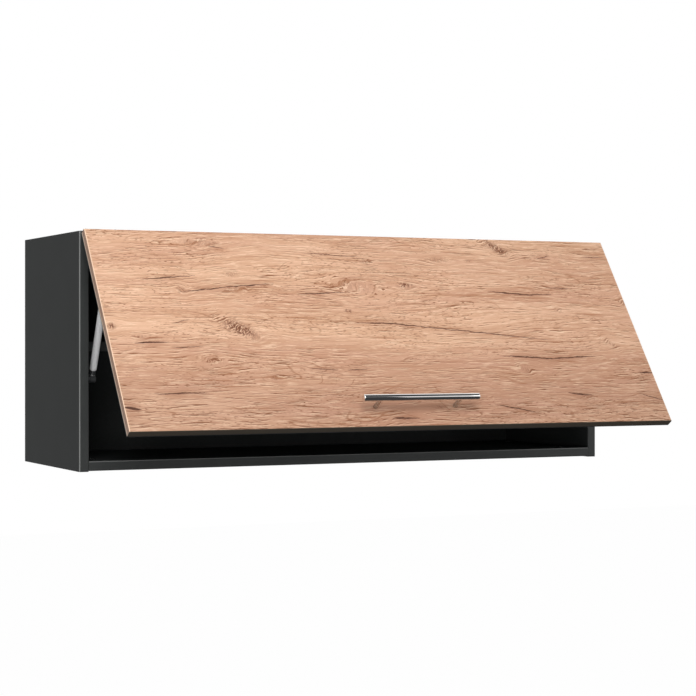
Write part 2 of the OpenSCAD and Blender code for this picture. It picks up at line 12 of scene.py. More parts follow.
import bmesh
import bpy
import numpy as np
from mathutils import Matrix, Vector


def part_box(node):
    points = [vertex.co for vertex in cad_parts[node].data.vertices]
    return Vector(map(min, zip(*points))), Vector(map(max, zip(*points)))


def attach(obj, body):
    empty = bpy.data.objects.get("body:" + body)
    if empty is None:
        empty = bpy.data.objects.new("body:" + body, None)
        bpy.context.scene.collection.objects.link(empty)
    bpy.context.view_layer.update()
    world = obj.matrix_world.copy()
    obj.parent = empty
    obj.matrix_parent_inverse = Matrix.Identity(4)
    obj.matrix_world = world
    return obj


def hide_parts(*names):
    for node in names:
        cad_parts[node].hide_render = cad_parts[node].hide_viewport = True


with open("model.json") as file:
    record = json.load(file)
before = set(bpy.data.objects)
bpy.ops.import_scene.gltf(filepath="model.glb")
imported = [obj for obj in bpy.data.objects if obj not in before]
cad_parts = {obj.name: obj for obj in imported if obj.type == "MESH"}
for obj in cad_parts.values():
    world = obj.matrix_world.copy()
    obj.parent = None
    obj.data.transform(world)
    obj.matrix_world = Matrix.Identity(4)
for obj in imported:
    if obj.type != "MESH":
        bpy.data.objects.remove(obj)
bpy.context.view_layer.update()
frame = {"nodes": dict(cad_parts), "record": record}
nodes = frame["nodes"]
MM = 0.001              # small lengths are written in millimetres

# %% [markdown]
# ## Camera
# The camera stands to the cabinet's left, turned about 26 degrees to it, at about half
# the cabinet's height. Its place was found from the corners of the carcass and the door.
# A tilted camera could frame the same corners, but upright edges stay upright only for a
# level one, so the picture is shifted a little instead.

# %% Set the camera
CAMERA_TURN = math.radians(25.625)
CAMERA_PLACE = (-1.4515, -3.3213, -0.1761)
CAMERA_LENS = 98.38     # millimetres, for a sensor 36 mm wide
CAMERA_SHIFT = -0.0073  # of the picture's side

camera_data = bpy.data.cameras.new("camera")
camera_data.sensor_width = 36
camera_data.lens = CAMERA_LENS
camera_data.shift_y = CAMERA_SHIFT
camera = bpy.data.objects.new("camera", camera_data)
camera.location = CAMERA_PLACE
camera.rotation_euler = (math.pi / 2, 0, -CAMERA_TURN)
scene = bpy.context.scene
scene.collection.objects.link(camera)
scene.camera = camera
scene.view_settings.view_transform = "Standard"
print("camera:", round(camera_data.lens, 1), "mm lens")

# %% [markdown]
# ## Node helpers
# A finish is a small network of shader nodes. Short helpers keep the networks readable.
# They add a node and fill or link its inputs, do one sum, blend two colours, and map one
# range to another. The networks could be drawn by hand in the editor, but written down
# they can be read and changed in rows.


# %% Helpers for shader nodes
def add_node(tree, kind, inputs=None, **settings):
    """Adds a shader node. An input that is a socket is linked, any other is a value."""
    node = tree.nodes.new("ShaderNode" + kind)
    for name, value in settings.items():
        setattr(node, name, value)
    for name, value in (inputs or {}).items():
        if isinstance(value, bpy.types.NodeSocket):
            tree.links.new(value, node.inputs[name])
        else:
            node.inputs[name].default_value = value
    return node


def sum_of(tree, operation, *values):
    """One Math node: operation is ADD, MULTIPLY, and so on; returns its result."""
    inputs = dict(enumerate(values))
    return add_node(tree, "Math", inputs, operation=operation).outputs[0]


def blend_colour(tree, factor, first, second, kind="MIX"):
    """Mixes two colours by a factor that varies over the surface."""
    node = add_node(tree, "Mix", data_type="RGBA", blend_type=kind)
    for index, value in ((0, factor), (6, first), (7, second)):
        if isinstance(value, bpy.types.NodeSocket):
            tree.links.new(value, node.inputs[index])
        else:
            node.inputs[index].default_value = value if index == 0 else (*value, 1)
    return node.outputs[2]


def spread(tree, value, low, high, out_low=0.0, out_high=1.0):
    """Maps low..high to out_low..out_high, smoothly, and keeps it between them."""
    node = add_node(tree, "MapRange", {
        "Value": value, "From Min": low, "From Max": high,
        "To Min": out_low, "To Max": out_high}, interpolation_type="SMOOTHSTEP")
    return node.outputs[0]


print("node helpers ready")

# %% [markdown]
# An effect that several finishes share becomes a group with named inputs and outputs. It
# could be copied into each material, but then a change would have to be made in each. The
# last two helpers start a material and let a height tilt its surface.


# %% Helpers for groups and materials
def start_group(name, inputs, outputs):
    """A shader node group. inputs: name, kind and value; outputs: name and kind."""
    group = bpy.data.node_groups.new(name, "ShaderNodeTree")
    for label, kind, value in inputs:
        socket = group.interface.new_socket(
            label, in_out="INPUT", socket_type="NodeSocket" + kind)
        if value is not None:
            socket.default_value = value
    for label, kind in outputs:
        group.interface.new_socket(label, in_out="OUTPUT", socket_type="NodeSocket" + kind)
    start = group.nodes.new("NodeGroupInput").outputs
    end = group.nodes.new("NodeGroupOutput").inputs
    return group, start, end


def use_group(tree, group, inputs):
    """Places a group in a material and returns its outputs."""
    node = add_node(tree, "Group", node_tree=group)
    for name, value in inputs.items():
        if isinstance(value, bpy.types.NodeSocket):
            tree.links.new(value, node.inputs[name])
        else:
            node.inputs[name].default_value = value
    return node.outputs


def start_finish(name, colour, roughness, metallic=0.0):
    """A material with its Principled shader and the object's own coordinates."""
    material = bpy.data.materials.new(name)
    material.use_nodes = True
    tree = material.node_tree
    shader = tree.nodes["Principled BSDF"]
    shader.inputs["Base Color"].default_value = (*colour, 1)
    shader.inputs["Roughness"].default_value = roughness
    shader.inputs["Metallic"].default_value = metallic
    place = add_node(tree, "TexCoord").outputs["Object"]
    return material, tree, shader, place


def add_bump(tree, shader, height, depth, strength=1.0):
    """Lets a height field tilt the surface; depth is its full height in metres."""
    bump = add_node(tree, "Bump", {
        "Height": height, "Distance": depth, "Strength": strength})
    tree.links.new(bump.outputs["Normal"], shader.inputs["Normal"])


print("group and material helpers ready")

# %% [markdown]
# ## Shared effects
# Streaks are noise that is squeezed across one direction: wood grain, brushed metal and
# drawn rods all show them. Speckle is fine and coarse noise together: pressed board,
# moulded plastic and sprayed paint are never perfectly even. A photographed surface could
# give the same unevenness, but it blurs close up and repeats, and noise does neither. Each
# is a group that the finishes place with their own values.


# %% Streaks and speckle
def make_streaks():
    """Noise of the coordinates, after each of them is multiplied by its own Scale."""
    group, start, end = start_group("streaks", [
        ("Vector", "Vector", None), ("Scale", "Vector", (1, 1, 1)),
        ("Detail", "Float", 4.0), ("Rough", "Float", 0.6)], [("Value", "Float")])
    scaled = add_node(group, "VectorMath", {
        0: start["Vector"], 1: start["Scale"]}, operation="MULTIPLY")
    noise = add_node(group, "TexNoise", {
        "Vector": scaled.outputs[0], "Scale": 1.0,
        "Detail": start["Detail"], "Roughness": start["Rough"]})
    group.links.new(noise.outputs[0], end["Value"])
    return group


def make_speckle():
    """The mean of fine and coarse noise gives Value; the fine one alone is Height."""
    group, start, end = start_group("speckle", [
        ("Vector", "Vector", None), ("Fine", "Float", 900.0), ("Coarse", "Float", 12.0)],
        [("Value", "Float"), ("Height", "Float")])
    fine = add_node(group, "TexNoise", {
        "Vector": start["Vector"], "Scale": start["Fine"], "Detail": 2.0})
    coarse = add_node(group, "TexNoise", {
        "Vector": start["Vector"], "Scale": start["Coarse"], "Detail": 3.0})
    half = sum_of(group, "MULTIPLY", sum_of(
        group, "ADD", fine.outputs[0], coarse.outputs[0]), 0.5)
    group.links.new(half, end["Value"])
    group.links.new(fine.outputs[0], end["Height"])
    return group


streaks = make_streaks()
speckle = make_speckle()
print("groups:", streaks.name, speckle.name)

# %% [markdown]
# ## Board, plastic and paint
# The carcass is particle board with a matt melamine film: dark, even, and only slightly
# pearled where the light grazes it. Edge banding, moulded plastic and sprayed paint
# differ from it in colour, gloss and the size of their texture, so one function makes
# them all.


# %% Even finishes
NOISE_MIDDLE = (0.35, 0.65)     # most of a noise's values lie between these two
NOISE_WIDE = (0.3, 0.7)


def even_finish(name, dark, light, roughness, fine=900.0, depth=0.02 * MM, swing=0.03,
                shine=0.5):
    """A plain surface whose colour and gloss drift a little with the speckle."""
    material, tree, shader, place = start_finish(name, dark, roughness)
    shader.inputs["Specular IOR Level"].default_value = shine
    grain = use_group(tree, speckle, {"Vector": place, "Fine": fine})
    mask = spread(tree, grain["Value"], *NOISE_MIDDLE)
    tree.links.new(blend_colour(tree, mask, dark, light), shader.inputs["Base Color"])
    rough = spread(tree, grain["Value"], *NOISE_WIDE, roughness - swing, roughness + swing)
    tree.links.new(rough, shader.inputs["Roughness"])
    add_bump(tree, shader, grain["Height"], depth)
    return material


board = even_finish("board", (0.0285, 0.0308, 0.0303), (0.0325, 0.0348, 0.0343), 0.58,
                    shine=0.04)
hardboard = even_finish("hardboard", (0.034, 0.036, 0.036), (0.043, 0.045, 0.045), 0.62,
                        fine=500.0, depth=0.05 * MM, shine=0.10)
white_plastic = even_finish("white_plastic", (0.74, 0.73, 0.70), (0.80, 0.79, 0.76), 0.4)
grey_plastic = even_finish("grey_plastic", (0.035, 0.036, 0.038), (0.05, 0.051, 0.053), 0.38)
white_paint = even_finish("white_paint", (0.82, 0.82, 0.82), (0.87, 0.87, 0.87), 0.25,
                          fine=300.0)
soft_buffer = even_finish("soft_buffer", (0.62, 0.61, 0.58), (0.70, 0.69, 0.66), 0.3)
print("even finishes made")

# %% [markdown]
# The edge banding is a strip of plastic glued to the board's front edge. Its corners are
# rounded, and a painted highlight along them stands in for the light they catch: a line
# paler than the rest. The line could be a narrow face with a finish of its own. It is about
# a millimetre wide, so a mask measured from the boxes of the imported pieces does as well and
# keeps their shape.


# %% Edge banding with a painted highlight on its corners
BOARD = 16 * MM         # thickness of the carcass board
BAND_DARK, BAND_LIGHT = (0.038, 0.041, 0.040), (0.045, 0.048, 0.047)
# The pale colour below is a painted highlight along the band's rounded corners.
ARRIS_HIGHLIGHT, ARRIS_HIGHLIGHT_SHARE = (0.22, 0.225, 0.22), 0.85


def band_finish():
    """Paler near the sides' outer corners and along the bottom panel's upper corner: a
    painted highlight.
    """
    material, tree, shader, place = start_finish("edge_band", BAND_DARK, 0.36)
    shader.inputs["Specular IOR Level"].default_value = 0.5
    grain = use_group(tree, speckle, {"Vector": place, "Fine": 700.0})
    mask = spread(tree, grain["Value"], *NOISE_MIDDLE)
    colour = blend_colour(tree, mask, BAND_DARK, BAND_LIGHT)
    x, _, z = add_node(tree, "SeparateXYZ", {0: place}).outputs
    half_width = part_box("edge_bands")[1][0]
    panel_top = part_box("bottom_panel")[1][2]
    out = sum_of(tree, "ABSOLUTE", x)
    side = spread(tree, out, half_width - 1.4 * MM, half_width - 1.0 * MM)
    gap = sum_of(tree, "ABSOLUTE", sum_of(tree, "SUBTRACT", z, panel_top - 0.4 * MM))
    low = spread(tree, gap, 1.2 * MM, 0.8 * MM)
    inner = spread(tree, out, half_width - BOARD, half_width - BOARD - 0.6 * MM)
    # Mask of the painted highlight: the sides' outer corners and the bottom panel's upper
    # corner.
    painted_highlight = sum_of(tree, "MAXIMUM", side, sum_of(tree, "MULTIPLY", low, inner))
    colour = blend_colour(tree, sum_of(tree, "MULTIPLY", painted_highlight, ARRIS_HIGHLIGHT_SHARE), colour,
                          ARRIS_HIGHLIGHT)
    tree.links.new(colour, shader.inputs["Base Color"])
    tree.links.new(spread(tree, mask, 0, 1, 0.33, 0.39), shader.inputs["Roughness"])
    add_bump(tree, shader, grain["Height"], 0.02 * MM)
    return material


band = band_finish()
print("edge banding made")

# %% [markdown]
# ## Metals
# Plated fittings are dull and slightly clouded. The handle's bar is polished and its posts
# are only turned. The strut's rod is drawn and ground, so its scratches run around it. One
# even roughness would look like plastic foil, so streaks vary both tint and roughness. All
# are the same network with other streaks.


# %% Metal finishes
def metal_finish(name, dark, light, roughness, scale, swing=0.06, depth=0.004 * MM):
    """Metal whose tint and roughness follow streaks along the direction of working."""
    material, tree, shader, place = start_finish(name, light, roughness, 1.0)
    line = use_group(tree, streaks, {"Vector": place, "Scale": scale})["Value"]
    mask = spread(tree, line, *NOISE_MIDDLE)
    tree.links.new(blend_colour(tree, mask, dark, light), shader.inputs["Base Color"])
    rough = spread(tree, line, *NOISE_WIDE, roughness - swing, roughness + swing)
    tree.links.new(rough, shader.inputs["Roughness"])
    add_bump(tree, shader, line, depth)
    return material


nickel = metal_finish("nickel", (0.50, 0.50, 0.48), (0.62, 0.61, 0.59), 0.28, (90, 90, 90))
zinc = metal_finish("zinc", (0.46, 0.47, 0.49), (0.60, 0.61, 0.63), 0.34, (140, 60, 140))
polished = metal_finish("polished_steel", (0.80, 0.79, 0.77), (0.90, 0.89, 0.87), 0.07,
                        (20, 700, 700), swing=0.02)
post_metal = metal_finish("post_metal", (0.50, 0.49, 0.47), (0.60, 0.59, 0.57), 0.26,
                          (400, 90, 90), swing=0.04)
ground_rod = metal_finish("ground_rod", (0.60, 0.60, 0.61), (0.70, 0.70, 0.71), 0.16,
                          (900, 60, 900), swing=0.05)
print("metal finishes made")

# %% [markdown]
# ## Oak decor
# The door's film shows old oak: warm, with fine dark pores along the grain, broad bands of
# lighter and darker tone, drying cracks and a few knots that push the grain aside. A
# printed film could be a picture laid on the door. Here it is built from noise and a list
# of flaws, because that stays sharp close up and can be changed. The pattern lives in the
# plane of the door. The door stands open, so a Mapping node first turns the object's
# coordinates back to those of the closed door.

# %% Coordinates of the closed door
DOOR_PIVOT = np.array([0.0, -0.3315, 0.0105])
DOOR_REST = math.radians(35)
DOOR_BACK_Y = -0.3225   # the closed door's back face
DOOR_HALF = 0.499       # half the door's width
DOOR_FOOT_Z = -0.388    # its lower edge when closed


def door_plane(tree, place):
    """Turns a point about the door's axis by 35 degrees, from where it is to closed."""
    turn = np.array([
        [1, 0, 0],
        [0, math.cos(DOOR_REST), -math.sin(DOOR_REST)],
        [0, math.sin(DOOR_REST), math.cos(DOOR_REST)]])
    shift = DOOR_PIVOT - turn @ DOOR_PIVOT
    node = add_node(tree, "Mapping", {
        "Vector": place, "Location": tuple(shift), "Rotation": (DOOR_REST, 0, 0)})
    return node.outputs[0]


print("door turned back by", round(math.degrees(DOOR_REST)), "degrees")

# %% [markdown]
# A crack is a thin dark lens: it has a middle, a half length, a slope and a thickness, and
# a shared wobble keeps it from being straight. It could be cut into the door, but the film
# is nearly flat, so a mask is nearer to the real thing.


# %% Crack group
NEARLY_ZERO = 0.0001    # keeps the division finite beyond a crack's ends
HALO_WIDTH = 5.0        # how many times wider than the crack its stain is


def make_crack():
    """Mask: 1 - |z - line| / (thick * (1 - t^2)), with t from -1 to 1 along the crack.

    Halo: exp(-(|z - line| / (5 * thick))^2) * (1 - t^2), the stain beside the crack.
    Spot is (x, wobble, z) in one vector.
    """
    group, start, end = start_group("crack", [
        ("Spot", "Vector", None),
        ("Middle X", "Float", 0.0), ("Middle Z", "Float", 0.0), ("Half", "Float", 0.03),
        ("Slope", "Float", 0.0), ("Thick", "Float", 0.001), ("Depth", "Float", 1.0)],
        [("Mask", "Float"), ("Halo", "Float")])
    spot_x, wobble, spot_z = add_node(group, "SeparateXYZ", {0: start["Spot"]}).outputs
    across = sum_of(group, "SUBTRACT", spot_x, start["Middle X"])
    t = sum_of(group, "DIVIDE", across, start["Half"])
    lens = sum_of(group, "MAXIMUM", sum_of(
        group, "SUBTRACT", 1.0, sum_of(group, "MULTIPLY", t, t)), NEARLY_ZERO)
    line = sum_of(group, "ADD", start["Middle Z"], sum_of(
        group, "ADD", wobble, sum_of(group, "MULTIPLY", across, start["Slope"])))
    away = sum_of(group, "ABSOLUTE", sum_of(group, "SUBTRACT", spot_z, line))
    wide = sum_of(group, "MULTIPLY", start["Thick"], lens)
    mask = sum_of(group, "SUBTRACT", 1.0, sum_of(group, "DIVIDE", away, wide))
    shown = sum_of(group, "MULTIPLY", sum_of(group, "MAXIMUM", mask, 0.0), start["Depth"])
    group.links.new(shown, end["Mask"])
    far = sum_of(group, "DIVIDE", away, sum_of(
        group, "MULTIPLY", start["Thick"], HALO_WIDTH))
    stain = sum_of(group, "EXPONENT", sum_of(group, "MULTIPLY", sum_of(
        group, "MULTIPLY", far, far), -1.0))
    halo = sum_of(group, "MULTIPLY", sum_of(group, "MULTIPLY", stain, lens), start["Depth"])
    group.links.new(halo, end["Halo"])
    return group


crack_group = make_crack()
print("group:", crack_group.name)

# %% [markdown]
# A knot is a soft oval spot, turned by its tilt. The grain flows around it, so the group
# also says how far it pushes the grain up or down. Rings could be drawn around each knot
# instead, but they would end somewhere, while a push fades away.


# %% Knot group
PUSH_REACH = 5.0        # the push fades over this many times the spot's squared size


def make_knot():
    """exp(-d^2) of an oval distance d gives Mask; v * exp(-d^2 / 5) gives Push.

    v is the distance across the knot's length, counted in its size.
    """
    group, start, end = start_group("knot", [
        ("Spot", "Vector", None),
        ("Middle X", "Float", 0.0), ("Middle Z", "Float", 0.0), ("Size", "Float", 0.01),
        ("Long", "Float", 2.0), ("Cos", "Float", 1.0), ("Sin", "Float", 0.0),
        ("Depth", "Float", 1.0)], [("Mask", "Float"), ("Push", "Float")])
    spot_x, wobble, spot_z = add_node(group, "SeparateXYZ", {0: start["Spot"]}).outputs
    dx = sum_of(group, "SUBTRACT", spot_x, start["Middle X"])
    dz = sum_of(group, "SUBTRACT", spot_z, start["Middle Z"])
    dz = sum_of(group, "ADD", dz, sum_of(group, "MULTIPLY", wobble, 2.0))
    along = sum_of(group, "ADD", sum_of(group, "MULTIPLY", dx, start["Cos"]),
                   sum_of(group, "MULTIPLY", dz, start["Sin"]))
    over = sum_of(group, "SUBTRACT", sum_of(group, "MULTIPLY", dz, start["Cos"]),
                  sum_of(group, "MULTIPLY", dx, start["Sin"]))
    u = sum_of(group, "DIVIDE", along, sum_of(
        group, "MULTIPLY", start["Size"], start["Long"]))
    v = sum_of(group, "DIVIDE", over, start["Size"])
    square = sum_of(group, "ADD", sum_of(group, "MULTIPLY", u, u),
                    sum_of(group, "MULTIPLY", v, v))
    near = sum_of(group, "EXPONENT", sum_of(group, "MULTIPLY", square, -1.0))
    wide = sum_of(group, "EXPONENT", sum_of(group, "MULTIPLY", square, -1 / PUSH_REACH))
    push = sum_of(group, "MULTIPLY", sum_of(group, "MULTIPLY", v, wide), start["Size"])
    group.links.new(sum_of(group, "MULTIPLY", near, start["Depth"]), end["Mask"])
    group.links.new(push, end["Push"])
    return group


knot_group = make_knot()
print("group:", knot_group.name)

# %% [markdown]
# The cracks and knots are listed in millimetres on the closed door: x along the grain from
# the middle of the door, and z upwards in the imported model's frame, so all z are below 0.
# Chance could strew them, but a door is known by its few large flaws, so each has a place.

# %% Where the cracks and knots are
# x from, z from, x to, z to, thickness, depth
CRACKS = [
    (-409, -95, -337, -88, 1.6, 0.8), (-352, -120, -276, -110, 1.6, 0.7),
    (-276, -110, -199, -102, 1.4, 0.8), (-142, -122, -71, -118, 1.5, 0.8),
    (-58, -181, -5, -181, 1.2, 0.7), (-452, -222, -405, -220, 2.2, 1.0),
    (-435, -319, -362, -318, 1.8, 0.9), (-385, -183, -358, -177, 1.0, 0.6),
    (-164, -274, -121, -275, 1.3, 0.6), (-96, -277, -66, -275, 1.3, 0.7),
    (-112, -35, -27, -40, 1.0, 0.6), (-289, -25, -265, -28, 1.5, 0.5),
    (228, -112, 290, -117, 1.6, 0.9), (278, -118, 340, -117, 1.8, 0.9),
    (342, -102, 388, -103, 1.2, 0.7), (-20, -180, 60, -188, 1.8, 0.7),
    (50, -187, 200, -203, 2.0, 0.55), (190, -203, 300, -214, 1.6, 0.45),
    (214, -250, 310, -256, 2.0, 0.9), (296, -256, 380, -251, 1.8, 0.8),
    (348, -37, 372, -29, 1.4, 0.6), (471, -287, 503, -287, 2.0, 0.7),
    (312, -327, 352, -333, 2.6, 0.7), (165, -350, 226, -364, 1.8, 0.7),
    (-40, -372, 0, -373, 2.6, 0.9), (449, -30, 489, -29, 1.2, 0.5),
    (455, -330, 503, -347, 1.4, 0.6), (-393, -231, -349, -230, 1.2, 0.6),
    (-497, -344, -474, -347, 3.0, 1.0)]
# x, z, size, length to width, tilt in degrees, depth
KNOTS = [
    (-272, -194, 10.5, 2.4, -28, 1.7), (-490, -190, 6.0, 1.2, 0, 1.1),
    (-38, -104, 12.0, 2.6, -8, 0.30), (-66, -157, 3.0, 1.8, 0, 1.4),
    (-3, -52, 5.0, 2.0, -10, 0.55), (-232, -291, 4.0, 1.6, 0, 0.6),
    (268, -14, 7.5, 3.0, -32, 1.4), (58, -102, 4.5, 2.6, 0, 1.3),
    (350, -151, 4.0, 2.2, -20, 0.6), (241, -277, 6.0, 1.6, -20, 0.5),
    (436, -225, 4.0, 2.6, -40, 0.45), (141, -44, 6.0, 3.0, 0, 0.45),
    (201, -45, 3.0, 1.6, 0, 0.6), (497, -134, 6.0, 1.4, -45, 0.7),
    (-356, -115, 6.0, 1.2, 40, 0.35), (-263, -83, 5.0, 2.6, 0, 0.5),
    (-259, -113, 7.0, 2.6, 0, 0.35), (-446, -211, 4.0, 2.4, 0, 0.55),
    (-331, -257, 7.0, 3.0, -10, 0.22), (49, -352, 3.0, 3.0, 0, 0.5),
    (348, -338, 5.0, 3.0, -12, 0.4), (-305, -17, 8.0, 4.0, 0, 0.35)]
print("cracks:", len(CRACKS), "knots:", len(KNOTS))

# %% [markdown]
# The lists become four fields: where the knots are dark, how far they push the grain, where
# the cracks are, and where the wood beside them is stained. The renderer has room for only
# so many values at a time, and a material that needs more turns black. Each group gets its
# point as one vector and is added up at once, so that no half-finished sums are kept.


# %% Fields from the lists
CRACK_STRETCH = 4 / 3   # a crack's ends are too thin to see, so it is made longer
CRACK_SWELL = 1 / 0.98  # and a little thicker


def place_knots(tree, spot):
    """Adds the knots' groups up; returns their mask and their push."""
    mask = push = 0.0
    for x, z, size, long, tilt, depth in KNOTS:
        out = use_group(tree, knot_group, {
            "Spot": spot, "Middle X": x * MM, "Middle Z": z * MM, "Size": size * MM,
            "Long": float(long), "Cos": math.cos(math.radians(tilt)),
            "Sin": math.sin(math.radians(tilt)), "Depth": depth})
        mask = sum_of(tree, "ADD", mask, out["Mask"])
        push = sum_of(tree, "ADD", push, out["Push"])
    return mask, push


def place_cracks(tree, spot):
    """Joins the cracks' groups; returns their mask and the stain beside them."""
    mask = halo = 0.0
    for x0, z0, x1, z1, thick, depth in CRACKS:
        out = use_group(tree, crack_group, {
            "Spot": spot, "Middle X": (x0 + x1) / 2 * MM, "Middle Z": (z0 + z1) / 2 * MM,
            "Half": (x1 - x0) / 2 * MM * CRACK_STRETCH, "Slope": (z1 - z0) / (x1 - x0),
            "Thick": thick * MM * CRACK_SWELL, "Depth": depth})
        mask = sum_of(tree, "MAXIMUM", mask, out["Mask"])
        halo = sum_of(tree, "ADD", halo, out["Halo"])
    return mask, sum_of(tree, "MINIMUM", halo, 1.0)


def grain_noise(tree, vector, along, across, detail=4.0, rough=0.6):
    """Streaks that are long along the grain and narrow across it."""
    return use_group(tree, streaks, {
        "Vector": vector, "Scale": (along, across, across), "Detail": detail,
        "Rough": rough})["Value"]


def tint(tree, colour, mask, shade, strength=1.0):
    """Blends a shade in where mask is 1, by strength at the most."""
    if strength < 1.0:
        mask = sum_of(tree, "MULTIPLY", mask, strength)
    return blend_colour(tree, mask, colour, shade)


print("fields ready")

# %% [markdown]
# The colour is built in layers. The broad tone comes first, then the soft layers in this
# list: haze, streaks, pale brushed lines and dark fibres. Each row says how dense the noise
# is along and across the grain, its detail and roughness, between which two values the
# layer fades in, its strength and its colour. Rows are easier to tune than a network, and
# one loop makes all of them.

# %% Colours of the oak
SOFT_LAYERS = [
    (3.2, 34, 3.0, 0.55, 0.48, 0.68, 0.42, (0.45, 0.225, 0.125)),
    (9, 190, 3.0, 0.6, 0.36, 0.64, 0.36, (0.49, 0.250, 0.130)),
    (42, 560, 2.0, 0.55, 0.55, 0.66, 0.46, (0.94, 0.67, 0.47)),
    (8, 330, 3.0, 0.6, 0.59, 0.66, 0.62, (0.33, 0.125, 0.044))]
# In OAK, 'lower' is a painted shade towards the door's foot, 'side' and 'foot' are painted
# shade on the rims, and the lit lip, the side line and 'corner' are painted highlights.
OAK = {
    "tone dark": (0.575, 0.318, 0.207), "tone light": (0.735, 0.455, 0.301),
    "growth line": (0.31, 0.115, 0.040), "lit lip": (0.95, 0.70, 0.49),
    "tick": (0.23, 0.078, 0.022), "pore": (0.24, 0.080, 0.024),
    "stain": (0.34, 0.140, 0.070), "lower": (0.78, 0.75, 0.745),
    "heart": (0.17, 0.055, 0.022), "split": (0.085, 0.026, 0.010),
    "side": (0.19, 0.095, 0.055), "side highlight": (0.98, 0.74, 0.54),
    "corner": (0.95, 0.70, 0.50), "foot": (0.058, 0.046, 0.032),
    "back": (0.018, 0.019, 0.019)}
print("soft layers:", len(SOFT_LAYERS), "colours:", len(OAK))

# %% [markdown]
# A flat sawn board shows its growth rings as long thin lines that close into arches. They
# could be drawn one by one. It is less work to count spaces along the bent height: a line
# is where the count is a whole number, and a slow swell in the count makes the arches.


# %% Tone and growth lines
LINES_PER_METRE = 80.0      # growth lines, before the swell bends them
SWELL_LINES = 16.0          # how many lines the swell can add
LINE_EDGE = (0.055, 0.015)  # half widths of a growth line, in spaces between two


def tone_layers(tree, grain, bent, deeper):
    """Broad tone, soft layers, and growth lines where PINGPONG(80 z + swell) is near 0."""
    tone = spread(tree, grain_noise(tree, grain, 1.3, 11), 0.36, 0.64)
    colour = blend_colour(tree, tone, OAK["tone dark"], OAK["tone light"])
    for along, across, detail, rough, low, high, strength, shade in SOFT_LAYERS:
        noise = grain_noise(tree, grain, along, across, detail, rough)
        colour = tint(tree, colour, spread(tree, noise, low, high), shade, strength)
    swell = grain_noise(tree, grain, 2.4, 9, 2.0)
    count = sum_of(tree, "ADD", sum_of(tree, "MULTIPLY", bent, LINES_PER_METRE),
                   sum_of(tree, "MULTIPLY", swell, SWELL_LINES))
    lines = spread(tree, sum_of(tree, "PINGPONG", count, 0.5), *LINE_EDGE)
    faded = sum_of(tree, "ADD", grain_noise(tree, grain, 9, 40, 3.0), deeper)
    lines = sum_of(tree, "MULTIPLY", lines, spread(tree, faded, 0.46, 0.62))
    return tint(tree, colour, lines, OAK["growth line"], 0.55), tone


print("growth lines per metre:", LINES_PER_METRE)

# %% [markdown]
# Oak has open pores, short dark grooves along the grain that come in patches. Light from
# above would leave a pale lip under each, and here that lip is a painted highlight. Bump
# alone could make the lip, but at this distance it would be lost, so the same noise, moved
# down, paints it.


# %% Pores
PORE_NOISE = (30, 560, 2.0, 0.6)
PORE_EDGE = (0.57, 0.66)
LIT_SHIFT = 1.6 * MM        # a pore's lit lip is this far below it


def pore_layers(tree, colour, grain, deeper):
    """Pores with a painted highlight as their lower lip, gathered in patches, and short ticks
    between them.
    """
    # Painted highlight: the pore noise moved down and blended in pale, as if lit from above.
    lit = add_node(tree, "VectorMath", {0: grain, 1: (0, 0, LIT_SHIFT)},
                   operation="ADD").outputs[0]
    painted_lip_highlight = spread(tree, grain_noise(tree, lit, *PORE_NOISE), *PORE_EDGE)
    colour = tint(tree, colour, painted_lip_highlight, OAK["lit lip"], 0.50)
    pores = spread(tree, grain_noise(tree, grain, *PORE_NOISE), *PORE_EDGE)
    dense = sum_of(tree, "ADD", grain_noise(tree, grain, 5, 30, 3.0), deeper)
    pores = sum_of(tree, "MULTIPLY", pores, spread(tree, dense, 0.38, 0.6, 0.35, 1.0))
    ticks = spread(tree, grain_noise(tree, grain, 120, 760, 1.0, 0.5), 0.60, 0.72)
    freckled = spread(tree, grain_noise(tree, grain, 6, 22, 2.0), 0.42, 0.58, 0.15, 1.0)
    colour = tint(tree, colour, sum_of(tree, "MULTIPLY", ticks, freckled), OAK["tick"])
    return tint(tree, colour, pores, OAK["pore"], 0.95), pores


print("pore lip in mm:", LIT_SHIFT / MM)

# %% [markdown]
# A knot's heart is hard and torn by the saw, and a crack's edges splinter. Smooth masks
# would look like ink, so fine noise breaks both of them up. The wood beside a crack is
# stained, and a painted shade darkens the door towards its foot.


# %% Knots and cracks
def flaw_layers(tree, colour, grain, z, knots, cracks, stain):
    """Stains, a painted shade over the lower part, ragged hearts of the knots, and torn
    cracks.
    """
    colour = tint(tree, colour, stain, OAK["stain"], 0.42)
    # Painted shade: the colour is multiplied darker towards the door's foot.
    lower = spread(tree, z, -0.16, -0.39)
    colour = blend_colour(tree, lower, colour, OAK["lower"], "MULTIPLY")
    ragged = spread(tree, grain_noise(tree, grain, 300, 760, 2.0), 0.42, 0.56, 0.12, 1.0)
    heart = sum_of(tree, "MULTIPLY", sum_of(tree, "MINIMUM", knots, 1.0), ragged)
    colour = tint(tree, colour, heart, OAK["heart"])
    torn = spread(tree, grain_noise(tree, grain, 60, 420, 2.0), 0.34, 0.50, 0.65, 1.0)
    split = sum_of(tree, "MULTIPLY", spread(tree, cracks, 0.0, 0.5), torn)
    return tint(tree, colour, split, OAK["split"]), heart, split


print("flaw layers ready")
